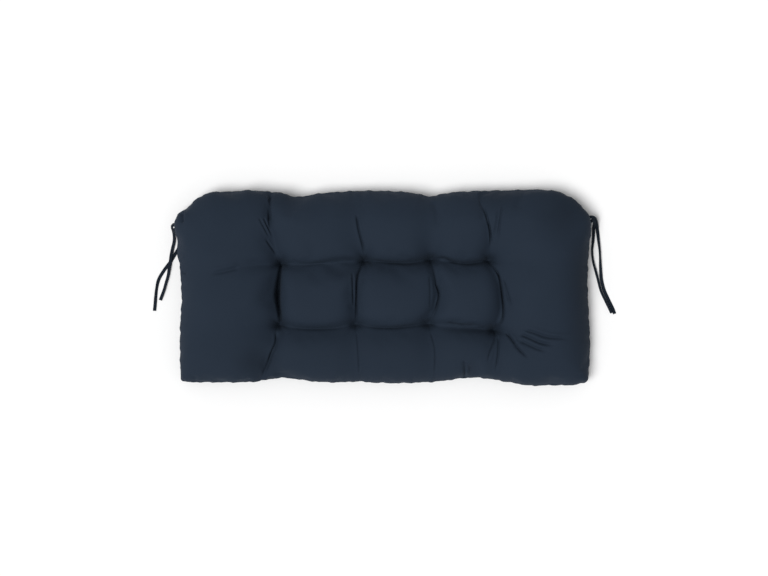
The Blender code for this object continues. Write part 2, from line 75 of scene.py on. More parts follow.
# Each strip's middle line: x, y, lift, and roll in degrees. Near their roots
# the left strips are rolled less than their solids, so that they show.
TIE_ROUTES = {
    "tie_left_outer": (
        (-0.5293, 0.1572, 0.0400, 0),
        (-0.5345, 0.1563, 0.0385, 10),
        (-0.5388, 0.1527, 0.0315, 25),
        (-0.5400, 0.1475, 0.0205, 40),
        (-0.5394, 0.1415, 0.0095, 45),
        (-0.5384, 0.1340, 0.0020, 40),
        (-0.5376, 0.1250, 0.0000, 30),
        (-0.5382, 0.1134, 0.0000, 20),
        (-0.5421, 0.0962, 0.0006, 10),
        (-0.5450, 0.0799, 0.0028, 0),
        (-0.5472, 0.0627, 0.0030, 0),
        (-0.5502, 0.0456, 0.0024, 10),
        (-0.5530, 0.0284, 0.0000, 22),
        (-0.5580, 0.0112, 0.0000, 30),
        (-0.5634, -0.0080, 0.0000, 30),
        (-0.5695, -0.0253, 0.0000, 12),
        (-0.5731, -0.0349, 0.0000, 0),
    ),
    "tie_left_inner": (
        (-0.5281, 0.1449, 0.0406, 0),
        (-0.5326, 0.1440, 0.0388, 10),
        (-0.5345, 0.1403, 0.0300, 25),
        (-0.5325, 0.1360, 0.0170, 35),
        (-0.5270, 0.1300, 0.0040, 25),
        (-0.5223, 0.1215, 0.0000, 0),
        (-0.5221, 0.1093, 0.0000, 0),
        (-0.5267, 0.0972, 0.0000, 5),
        (-0.5363, 0.0810, 0.0000, 0),
        (-0.5476, 0.0628, 0.0000, 0),
        (-0.5631, 0.0420, 0.0000, 0),
        (-0.5768, 0.0188, 0.0000, -12),
        (-0.5820, -0.0030, 0.0000, -40),
        (-0.5844, -0.0232, 0.0000, -30),
        (-0.5864, -0.0445, 0.0000, 0),
        (-0.5881, -0.0622, 0.0000, 0),
    ),
    "tie_right_outer": (
        (0.5183, 0.1739, 0.0393, 0),
        (0.5234, 0.1760, 0.0385, 0),
        (0.5320, 0.1740, 0.0325, 0),
        (0.5380, 0.1664, 0.0210, 5),
        (0.5415, 0.1568, 0.0085, 12),
        (0.5438, 0.1447, 0.0008, 20),
        (0.5460, 0.1265, 0.0000, 30),
        (0.5477, 0.1093, 0.0000, 50),
        (0.5497, 0.0911, 0.0000, 62),
        (0.5507, 0.0709, 0.0000, 62),
        (0.5520, 0.0456, 0.0000, 35),
        (0.5545, 0.0183, 0.0000, 10),
        (0.5611, -0.0080, 0.0000, 0),
        (0.5722, -0.0333, 0.0000, 0),
        (0.5834, -0.0566, 0.0000, 0),
        (0.5884, -0.0698, 0.0000, 0),
    ),
    "tie_right_inner": (
        (0.5224, 0.1650, 0.0398, 0),
        (0.5275, 0.1673, 0.0388, 0),
        (0.5329, 0.1618, 0.0290, 0),
        (0.5336, 0.1543, 0.0150, 0),
        (0.5340, 0.1456, 0.0040, 8),
        (0.5341, 0.1316, 0.0000, 30),
        (0.5325, 0.1134, 0.0000, 45),
        (0.5303, 0.0911, 0.0000, 60),
        (0.5325, 0.0668, 0.0000, 60),
        (0.5392, 0.0405, 0.0000, 55),
        (0.5452, 0.0183, 0.0000, 55),
        (0.5530, -0.0111, 0.0000, 55),
        (0.5641, -0.0354, 0.0000, 55),
        (0.5751, -0.0576, 0.0000, 50),
        (0.5803, -0.0678, 0.0000, 45),
    ),
}


CURVE_SHARES = np.linspace(0, 1, 20, endpoint=False)


def smooth_route(rows, step):
    """Evenly spaced points on one smooth curve through a route's rows."""
    rows = np.array(rows, dtype=float)
    padded = np.vstack((2 * rows[0] - rows[1], rows, 2 * rows[-1] - rows[-2]))
    fine = []
    for first in range(len(rows) - 1):
        before, start, end, after = padded[first:first + 4]
        for t in CURVE_SHARES:
            bend = 2 * before - 5 * start + 4 * end - after
            twist = 3 * start - before - 3 * end + after
            fine.append(0.5 * (2 * start + (end - before) * t + bend * t ** 2 + twist * t ** 3))
    fine.append(rows[-1])
    fine = np.array(fine)
    space = min(3, rows.shape[1])
    steps = np.linalg.norm(np.diff(fine[:, :space], axis=0), axis=1)
    lengths = np.concatenate(([0], np.cumsum(steps)))
    places = np.linspace(0, lengths[-1], round(lengths[-1] / step) + 1)
    return np.column_stack([np.interp(places, lengths, column) for column in fine.T])


def strip_section():
    """The folded strip cut across: flat faces and two rounded edges."""
    half_width = (TIE_WIDTH - TIE_THICKNESS) / 2
    section = []
    for side in (1, -1):
        for share in TIE_FACE_SHARES:
            section.append((side * share * half_width, side * TIE_THICKNESS / 2))
        for step in range(TIE_EDGE_POINTS + 2):
            angle = pi / 2 - pi * step / (TIE_EDGE_POINTS + 1)
            across = side * (half_width + cos(angle) * TIE_THICKNESS / 2)
            section.append((across, side * sin(angle) * TIE_THICKNESS / 2))
    return section


def tie_strip(name, rows):
    """One flat strip swept along its route, with UVs in metres."""
    points = smooth_route(rows, TIE_STEP)
    half_width = (TIE_WIDTH - TIE_THICKNESS) / 2
    path = []
    for x, y, lift, roll in points:
        stand = abs(sin(radians(roll))) * half_width + TIE_THICKNESS / 2
        path.append(Vector((x, y, FLOOR_GAP + max(lift, 0) + stand)))
    first_step = path[0] - path[1]
    path.insert(0, path[0] + first_step.normalized() * SEWN_IN)
    points = np.vstack((points[:1], points))
    section = strip_section()
    mesh = bmesh.new()
    uv = mesh.loops.layers.uv.new("cloth")
    rings = []
    for number, place in enumerate(path):
        ahead = path[min(number + 1, len(path) - 1)] - path[max(number - 1, 0)]
        across = Vector((-ahead.y, ahead.x, 0)).normalized()
        up = ahead.cross(across).normalized()
        roll = radians(points[number][3])
        flat = across * cos(roll) + up * sin(roll)
        face = up * cos(roll) - across * sin(roll)
        rings.append([mesh.verts.new(place + flat * a + face * b) for a, b in section])
    count = len(section)
    for number, (ring, after) in enumerate(zip(rings, rings[1:])):
        for corner in range(count):
            beside = (corner + 1) % count
            quad = mesh.faces.new((ring[corner], after[corner], after[beside], ring[beside]))
            steps = (number, number + 1, number + 1, number)
            corners = (corner, corner, corner + 1, corner + 1)
            for loop, along, around in zip(quad.loops, steps, corners):
                loop[uv].uv = (along * TIE_STEP, section[around % count][0])
    mesh.faces.new(rings[0])
    mesh.faces.new(reversed(rings[-1]))
    bmesh.ops.recalc_face_normals(mesh, faces=mesh.faces)
    data = bpy.data.meshes.new(name + "_strip")
    mesh.to_mesh(data)
    mesh.free()
    strip = bpy.data.objects.new(name + "_strip", data)
    bpy.context.collection.objects.link(strip)
    data.shade_smooth()
    return strip, [tuple(place) for place in path]


# Ties and cover are one fine plain weave of spun polyester, dyed navy and
# matt with a faint sheen. The folded strips look darker than the cover.
SHEEN = 0.03
SHEEN_ROUGHNESS = 0.45
SHEEN_TINT = (0.62, 0.76, 1.0, 1)
SPECULAR = 0.10
THREAD_PITCH = 0.0006
WEAVE_RELIEF = 0.35
THREAD_HEIGHT = 0.0001
# How much slubs, uneven dye and the threads change the colour and the gloss.
SLUB_TONE = 0.55
SLUB_TONE_START = -0.35
DYE_TONE = 0.9
THREAD_TONE = 0.35
SLUB_GLOSS = 0.12
SLUB_HEIGHT = 0.6
SLUB_SCALE = 420
SLUB_STRETCH = 0.03
DYE_SCALE = 9
# Sockets of a Mix node that mixes colours.
MIX_FIRST, MIX_SECOND, MIX_RESULT = 6, 7, 2


def colour_mix(nodes, links, factor):
    """A node that mixes two colours by a mask."""
    mix = nodes.new("ShaderNodeMix")
    mix.data_type = "RGBA"
    mix.clamp_factor = True
    links.new(factor, mix.inputs["Factor"])
    return mix


def woven_group():
    """Weave, slubs and uneven dye, shared by the cover and the ties."""
    group = bpy.data.node_groups.new("plain_weave", "ShaderNodeTree")
    sockets = group.interface
    for name, kind, value in (
        ("Thread Pitch", "NodeSocketFloat", 0.0005),
        ("Cloth Colour", "NodeSocketColor", (0.02, 0.03, 0.045, 1)),
        ("Worn Colour", "NodeSocketColor", (0.03, 0.04, 0.055, 1)),
        ("Roughness", "NodeSocketFloat", 0.8),
        ("Relief", "NodeSocketFloat", 0.35),
    ):
        sockets.new_socket(name, in_out="INPUT", socket_type=kind).default_value = value
    sockets.new_socket("Colour", in_out="OUTPUT", socket_type="NodeSocketColor")
    sockets.new_socket("Roughness", in_out="OUTPUT", socket_type="NodeSocketFloat")
    sockets.new_socket("Normal", in_out="OUTPUT", socket_type="NodeSocketVector")
    nodes, links = group.nodes, group.links
    given = nodes.new("NodeGroupInput")
    out = nodes.new("NodeGroupOutput")
    uv = nodes.new("ShaderNodeUVMap")
    uv.uv_map = "cloth"

    def math(kind, first, second=None):
        node = nodes.new("ShaderNodeMath")
        node.operation = kind
        for socket, value in zip(node.inputs, (first, second)):
            if value is None:
                continue
            if isinstance(value, (int, float)):
                socket.default_value = value
            else:
                links.new(value, socket)
        return node.outputs[0]

    def noise(scale, stretch, detail):
        mapping = nodes.new("ShaderNodeMapping")
        mapping.inputs["Scale"].default_value = stretch
        links.new(uv.outputs["UV"], mapping.inputs["Vector"])
        node = nodes.new("ShaderNodeTexNoise")
        node.inputs["Scale"].default_value = scale
        node.inputs["Detail"].default_value = detail
        links.new(mapping.outputs["Vector"], node.inputs["Vector"])
        return node.outputs["Fac"]

    threads = nodes.new("ShaderNodeSeparateXYZ")
    links.new(uv.outputs["UV"], threads.inputs[0])
    turns = math("DIVIDE", pi, given.outputs["Thread Pitch"])
    warp = math("SINE", math("MULTIPLY", threads.outputs["X"], turns))
    weft = math("SINE", math("MULTIPLY", threads.outputs["Y"], turns))
    weave = math("MULTIPLY_ADD", math("MULTIPLY", warp, weft), 0.5)
    weave.node.inputs[2].default_value = 0.5
    warp_slubs = noise(SLUB_SCALE, (1, SLUB_STRETCH, 1), 2)
    weft_slubs = noise(SLUB_SCALE, (SLUB_STRETCH, 1, 1), 2)
    slubs = math("ADD", warp_slubs, weft_slubs)
    dye = noise(DYE_SCALE, (1, 1, 1), 4)

    tone = math("MULTIPLY_ADD", slubs, SLUB_TONE)
    tone.node.inputs[2].default_value = SLUB_TONE_START
    shade = math("ADD", tone, math("MULTIPLY", math("SUBTRACT", dye, 0.5), DYE_TONE))
    shade = math("ADD", shade, math("MULTIPLY", math("SUBTRACT", weave, 0.5), THREAD_TONE))
    mix = colour_mix(nodes, links, shade)
    links.new(given.outputs["Cloth Colour"], mix.inputs[MIX_FIRST])
    links.new(given.outputs["Worn Colour"], mix.inputs[MIX_SECOND])
    links.new(mix.outputs[MIX_RESULT], out.inputs["Colour"])

    gloss = math("MULTIPLY", math("SUBTRACT", slubs, 1.0), SLUB_GLOSS)
    links.new(math("ADD", given.outputs["Roughness"], gloss), out.inputs["Roughness"])

    height = math("ADD", weave, math("MULTIPLY", slubs, SLUB_HEIGHT))
    bump = nodes.new("ShaderNodeBump")
    bump.inputs["Distance"].default_value = THREAD_HEIGHT
    links.new(given.outputs["Relief"], bump.inputs["Strength"])
    links.new(height, bump.inputs["Height"])
    links.new(bump.outputs["Normal"], out.inputs["Normal"])
    return group


plain_weave = woven_group()


def cloth_material(name, cloth, worn, roughness):
    """The weave in two shades, on a matt shader with a faint sheen."""
    material = bpy.data.materials.new(name)
    material.use_nodes = True
    nodes, links = material.node_tree.nodes, material.node_tree.links
    shader = nodes["Principled BSDF"]
    shader.inputs["Sheen Weight"].default_value = SHEEN
    shader.inputs["Sheen Roughness"].default_value = SHEEN_ROUGHNESS
    shader.inputs["Sheen Tint"].default_value = SHEEN_TINT
    shader.inputs["Specular IOR Level"].default_value = SPECULAR
    weave = nodes.new("ShaderNodeGroup")
    weave.node_tree = plain_weave
    weave.inputs["Thread Pitch"].default_value = THREAD_PITCH
    weave.inputs["Cloth Colour"].default_value = (*cloth, 1)
    weave.inputs["Worn Colour"].default_value = (*worn, 1)
    weave.inputs["Roughness"].default_value = roughness
    weave.inputs["Relief"].default_value = WEAVE_RELIEF
    links.new(weave.outputs["Colour"], shader.inputs["Base Color"])
    links.new(weave.outputs["Roughness"], shader.inputs["Roughness"])
    links.new(weave.outputs["Normal"], shader.inputs["Normal"])
    return material


tie_cloth = cloth_material("tie_cloth_navy", (0.0080, 0.0125, 0.0195), (0.0115, 0.0170, 0.0260), 0.85)
for tie_name, route in TIE_ROUTES.items():
    strip, path = tie_strip(tie_name, route)
    strip.data.materials.append(tie_cloth)
    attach(strip, "root")
    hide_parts(tie_name)


# The cushion is a cover of two cloth panels, seamed edge to edge and filled
# with loose fibre, with eight tufts stitched right through. The filling
# swells between the tufts, and the cloth gathers into folds there.
MERGE_GAP = 0.00002
# A face of the sewn band stands upright: this much of its normal may rise.
BAND_RISE = 0.02

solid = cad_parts["cushion"]
cushion = bpy.data.objects.new("cushion_cover", solid.data.copy())
bpy.context.collection.objects.link(cushion)
bpy.ops.object.select_all(action="DESELECT")
cushion.select_set(True)
bpy.context.view_layer.objects.active = cushion
bpy.ops.object.mode_set(mode="EDIT")
bpy.ops.mesh.select_all(action="SELECT")
bpy.ops.mesh.remove_doubles(threshold=MERGE_GAP)
bpy.ops.object.mode_set(mode="OBJECT")


def vertex_places(data):
    """The places of a mesh's points, one row each."""
    places = np.empty(len(data.vertices) * 3)
    data.vertices.foreach_get("co", places)
    return places.reshape(-1, 3)


def vertex_normals(data):
    """The normals of a mesh's points, one row each."""
    normals = np.empty(len(data.vertices) * 3)
    data.vertices.foreach_get("normal", normals)
    return normals.reshape(-1, 3)


def sew_the_band(piece):
    """Rebuild the thin sewn edge as one row of squares with a sharp edge on
    either side, join the panels' triangles into squares, and mark the top
    panel in a vertex group."""
    mesh = bmesh.new()
    mesh.from_mesh(piece.data)
    creases = mesh.edges.layers.float.new("crease_edge")
    band = [face for face in mesh.faces if abs(face.normal.z) < BAND_RISE]
    bmesh.ops.delete(mesh, geom=band, context="FACES")
    rim = [edge for edge in mesh.edges if edge.is_boundary]
    bridged = set(bmesh.ops.bridge_loops(mesh, edges=rim)["faces"])
    for edge in rim:
        edge[creases] = 1.0
    panels = [face for face in mesh.faces if face not in bridged]
    bmesh.ops.join_triangles(mesh, faces=panels, angle_face_threshold=pi, angle_shape_threshold=pi)
    bmesh.ops.recalc_face_normals(mesh, faces=mesh.faces)
    front = [max(mesh.verts, key=lambda vertex: vertex.co.z)]
    top = set(front)
    while front:
        for edge in front.pop().link_edges:
            for vertex in edge.verts:
                if vertex in top:
                    continue
                top.add(vertex)
                if not any(beside[creases] > 0.5 for beside in vertex.link_edges):
                    front.append(vertex)
    mesh.verts.index_update()
    top_points = sorted(vertex.index for vertex in top)
    for edge in mesh.edges:
        edge.seam = edge[creases] > 0.5
    mesh.to_mesh(piece.data)
    mesh.free()
    group = piece.vertex_groups.new(name="top_panel")
    group.add(top_points, 1.0, "REPLACE")


def subdivide(piece, levels):
    """Round the cloth between its points."""
    modifier = piece.modifiers.new("smoothing", "SUBSURF")
    modifier.levels = levels
    modifier.render_levels = levels
    bpy.ops.object.modifier_apply(modifier=modifier.name)


def group_weights(piece, name):
    """The weights of a vertex group, one for each point."""
    group = piece.vertex_groups[name].index
    weights = np.zeros(len(piece.data.vertices))
    for vertex in piece.data.vertices:
        for entry in vertex.groups:
            if entry.group == group:
                weights[vertex.index] = entry.weight
    return weights


# Top panel, underside and sewn band: the share of a face's points on the top
# panel, from and to, and whether the panel is seen from its other side.
PANELS = ((0.99, 2, False), (-1, 0.01, True), (0.01, 0.99, False))


def lay_out_panels(piece):
    """Flatten the two panels as they were cut, for the weave: UVs in metres,
    square to the bench. A place is one complex number here, so that turning
    and sizing a panel is one product."""
    data = piece.data
    data.uv_layers.new(name="cloth")
    bpy.ops.object.mode_set(mode="EDIT")
    bpy.ops.mesh.select_all(action="SELECT")
    bpy.ops.uv.select_all(action="SELECT")
    bpy.ops.uv.unwrap(method="CONFORMAL", margin=0.02)
    bpy.ops.object.mode_set(mode="OBJECT")
    flat = np.empty(len(data.loops) * 2)
    data.uv_layers["cloth"].uv.foreach_get("vector", flat)
    flat = flat.reshape(-1, 2) @ (1, 1j)
    corners = np.empty(len(data.loops), dtype=int)
    data.loops.foreach_get("vertex_index", corners)
    plan = vertex_places(data)[corners, :2] @ (1, 1j)
    on_top = group_weights(piece, "top_panel")
    starts = np.empty(len(data.polygons), dtype=int)
    data.polygons.foreach_get("loop_start", starts)
    sizes = np.diff(np.append(starts, len(data.loops)))
    loop_face = np.repeat(np.arange(len(starts)), sizes)
    face_share = np.bincount(loop_face, on_top[corners]) / sizes
    for low, high, mirrored in PANELS:
        chosen = ((face_share > low) & (face_share <= high))[loop_face]
        panel = np.conj(flat[chosen]) if mirrored else flat[chosen]
        seen = plan[chosen]
        from_middle = panel - panel.mean()
        to_middle = seen - seen.mean()
        turn = (np.conj(from_middle) * to_middle).sum() / (abs(from_middle) ** 2).sum()
        flat[chosen] = turn * from_middle + seen.mean()
    data.uv_layers["cloth"].uv.foreach_set("vector", np.column_stack((flat.real, flat.imag)).ravel())


sew_the_band(cushion)
lay_out_panels(cushion)
subdivide(cushion, 1)


# Eight tufts are stitched right through in two rows of four, and the cloth
# folds in between each and its neighbours.
TUFTS = {
    "front_1": (-0.264, -0.096), "front_2": (-0.072, -0.094),
    "front_3": (0.110, -0.093), "front_4": (0.277, -0.109),
    "back_1": (-0.260, 0.059), "back_2": (-0.049, 0.066),
    "back_3": (0.1175, 0.070), "back_4": (0.263, 0.067),
}
FOLD_STEP = 0.006
# Tuft, three points on the fold's way, tuft.
FOLDS = (
    ("back_1", (-0.212, 0.0540), (-0.168, 0.0590), (-0.110, 0.0700), "back_2"),
    ("back_2", (-0.015, 0.0640), (0.020, 0.0600), (0.066, 0.0585), "back_3"),
    ("back_3", (0.150, 0.0720), (0.177, 0.0610), (0.218, 0.0575), "back_4"),
    ("front_1", (-0.224, -0.1030), (-0.180, -0.1060), (-0.127, -0.1040), "front_2"),
    ("front_2", (-0.022, -0.1020), (0.024, -0.1030), (0.065, -0.0980), "front_3"),
    ("front_3", (0.150, -0.1030), (0.193, -0.1080), (0.236, -0.1100), "front_4"),
    ("front_1", (-0.2620, -0.0790), (-0.2680, -0.0280), (-0.2665, 0.0040), "back_1"),
    ("front_2", (-0.0700, -0.0700), (-0.0705, -0.0300), (-0.0675, 0.0250), "back_2"),
    ("front_3", (0.1260, -0.0640), (0.1360, -0.0230), (0.1280, 0.0180), "back_3"),
    ("front_4", (0.2960, -0.0800), (0.2965, -0.0300), (0.2880, 0.0230), "back_4"),
)


def distance_to_line(places, line):
    """Distance of each place to a polyline in plan, the share along it, and
    the side it lies on."""
    best = np.full(len(places), 1e9)
    share = np.zeros(len(places))
    side = np.zeros(len(places))
    lengths = np.linalg.norm(np.diff(line, axis=0), axis=1)
    starts = np.concatenate(([0], np.cumsum(lengths)))
    for number, (a, b) in enumerate(zip(line, line[1:])):
        way = (b - a) / lengths[number]
        offset = places - a
        along = np.clip(offset @ way, 0, lengths[number])
        gap = offset - along[:, None] * way
        away = np.linalg.norm(gap, axis=1)
        nearer = away < best
        best[nearer] = away[nearer]
        share[nearer] = (starts[number] + along[nearer]) / starts[-1]
        side[nearer] = np.sign(way[0] * offset[nearer, 1] - way[1] * offset[nearer, 0])
    return best, share, side


fold_lines = []
for first_tuft, *middle_points, last_tuft in FOLDS:
    fold_lines.append(smooth_route((TUFTS[first_tuft], *middle_points, TUFTS[last_tuft]), FOLD_STEP))


def free_top(piece):
    """1 for the points of the top panel inside its seam, and 0 elsewhere."""
    top = group_weights(piece, "top_panel") > 0.99
    edges = np.empty(len(piece.data.edges) * 2, dtype=int)
    piece.data.edges.foreach_get("vertices", edges)
    first, second = edges.reshape(-1, 2).T
    free = top.copy()
    free[first[~top[second]]] = False
    free[second[~top[first]]] = False
    return free.astype(float)


FILLING_PRESSURE = 4.0
FILLING_STEPS = 20
CLOTH_EASE = 0.02
MOST_MOVE = 0.010
FOLD_GRIP = 0.9
FOLD_GRIP_REACH = 0.012
TUFT_GRIP_REACH = 0.014
LEAST_GRIP = 0.01


def fill_with_fibre(piece):
    """The cover swells under the filling's pressure, held at the tufts, in
    the folds, along the seam and where it rests."""
    places = vertex_places(piece.data)
    plan = places[:, :2]
    held = 1.0 - free_top(piece)
    for line in fold_lines:
        away, _, _ = distance_to_line(plan, line)
        held = np.maximum(held, FOLD_GRIP * np.exp(-(away / FOLD_GRIP_REACH) ** 2))
    for x, y in TUFTS.values():
        away = np.hypot(plan[:, 0] - x, plan[:, 1] - y)
        held = np.maximum(held, np.exp(-(away / TUFT_GRIP_REACH) ** 4))
    group = piece.vertex_groups.new(name="held")
    for index, weight in enumerate(held):
        if weight > LEAST_GRIP:
            group.add([index], min(float(weight), 1.0), "REPLACE")
    modifier = piece.modifiers.new("filling", "CLOTH")
    cloth = modifier.settings
    cloth.quality = 5
    cloth.mass = 0.3
    cloth.tension_stiffness = 12
    cloth.compression_stiffness = 12
    cloth.shear_stiffness = 6
    cloth.bending_stiffness = 0.4
    cloth.air_damping = 4
    cloth.use_pressure = True
    cloth.uniform_pressure_force = FILLING_PRESSURE
    cloth.shrink_min = -CLOTH_EASE
    cloth.vertex_group_mass = "held"
    cloth.pin_stiffness = 1.0
    cloth.effector_weights.gravity = 0
    modifier.collision_settings.use_self_collision = False
    for step in range(1, FILLING_STEPS + 1):
        bpy.context.scene.frame_set(step)
    graph = bpy.context.evaluated_depsgraph_get()
    swollen = vertex_places(piece.evaluated_get(graph).to_mesh())
    piece.modifiers.remove(modifier)
    bpy.context.scene.frame_set(1)
    move = swollen - places
    length = np.linalg.norm(move, axis=1)
    capped = MOST_MOVE * np.tanh(length / MOST_MOVE)
    move *= (capped / np.maximum(length, 1e-9))[:, None]
    moved = places + move
    moved[:, 2] = np.maximum(moved[:, 2], 0)
    piece.data.vertices.foreach_set("co", moved.ravel())
    piece.data.update()


fill_with_fibre(cushion)


# Between the outer tufts and the seam the filling spreads evenly, so that the
# cover shows no fold there: from x, y to x, y, and the reach to both sides.
SMOOTH_PLACES = (
    ((-0.070, -0.125), (-0.068, -0.235), 0.030),
    ((0.120, -0.125), (0.127, -0.235), 0.030),
    ((-0.068, 0.120), (-0.071, 0.240), 0.030),
    ((0.118, 0.110), (0.115, 0.200), 0.030),
    ((0.285, -0.150), (0.290, -0.235), 0.020),
    ((-0.510, -0.105), (-0.330, -0.098), 0.035),
    ((-0.510, 0.046), (-0.420, 0.035), 0.030),
    ((0.340, -0.112), (0.510, -0.105), 0.035),
    ((0.320, 0.066), (0.510, 0.046), 0.035),
)
SMOOTH_ROUNDS = 60
SMOOTH_STEP = 0.5


def spread_the_filling(piece):
    """Even out the top panel along those lines."""
    places = vertex_places(piece.data)
    top = group_weights(piece, "top_panel")
    share = np.zeros(len(places))
    for start, end, reach in SMOOTH_PLACES:
        away, _, _ = distance_to_line(places[:, :2], np.array((start, end)))
        share = np.maximum(share, np.exp(-(away / reach) ** 2))
    share[top < 0.99] = 0
    edges = np.empty(len(piece.data.edges) * 2, dtype=int)
    piece.data.edges.foreach_get("vertices", edges)
    first, second = edges.reshape(-1, 2).T
    count = np.bincount(edges, minlength=len(places))[:, None]
    for _ in range(SMOOTH_ROUNDS):
        total = np.zeros_like(places)
        for axis in range(3):
            total[:, axis] += np.bincount(first, places[second, axis], len(places))
            total[:, axis] += np.bincount(second, places[first, axis], len(places))
        places += SMOOTH_STEP * share[:, None] * (total / count - places)
    piece.data.vertices.foreach_set("co", places.ravel())
    piece.data.update()


spread_the_filling(cushion)
subdivide(cushion, 1)


# How the cover closes in each fold between the tufts, in the order of the
# folds above: depth and half width at five places along it, how much the
# cloth on both sides is drawn together, and how square the bottom is.
SLOT_PLACES = (0, 0.2, 0.5, 0.8, 1)
SLOTS = (
    ((0.001, 0.001, 0.002, 0.003, 0.001), (0.005, 0.0050, 0.0050, 0.0055, 0.006), 0.10, 2),
    ((0.002, 0.004, 0.005, 0.005, 0.002), (0.005, 0.0040, 0.0038, 0.0055, 0.006), 0.20, 2),
    ((0.002, 0.006, 0.005, 0.006, 0.002), (0.005, 0.0030, 0.0034, 0.0050, 0.006), 0.20, 2),
    ((0.001, 0.002, 0.003, 0.002, 0.001), (0.006, 0.0045, 0.0040, 0.0050, 0.006), 0.10, 2),
    ((0.002, 0.003, 0.004, 0.004, 0.002), (0.006, 0.0036, 0.0036, 0.0048, 0.006), 0.20, 2),
    ((0.001, 0.001, 0.001, 0.002, 0.001), (0.006, 0.0050, 0.0055, 0.0065, 0.007), 0.00, 2),
    ((0.002, 0.018, 0.028, 0.018, 0.006), (0.004, 0.0046, 0.0068, 0.0046, 0.0030), 0.10, 4),
    ((0.001, 0.007, 0.009, 0.007, 0.001), (0.004, 0.0022, 0.0022, 0.0022, 0.004), 0.35, 2),
    ((0.001, 0.003, 0.003, 0.003, 0.001), (0.004, 0.0030, 0.0030, 0.0030, 0.004), 0.15, 2),
    ((0.002, 0.006, 0.008, 0.006, 0.002), (0.004, 0.0022, 0.0024, 0.0022, 0.004), 0.30, 2),
)
GATHER_REACH = 0.010

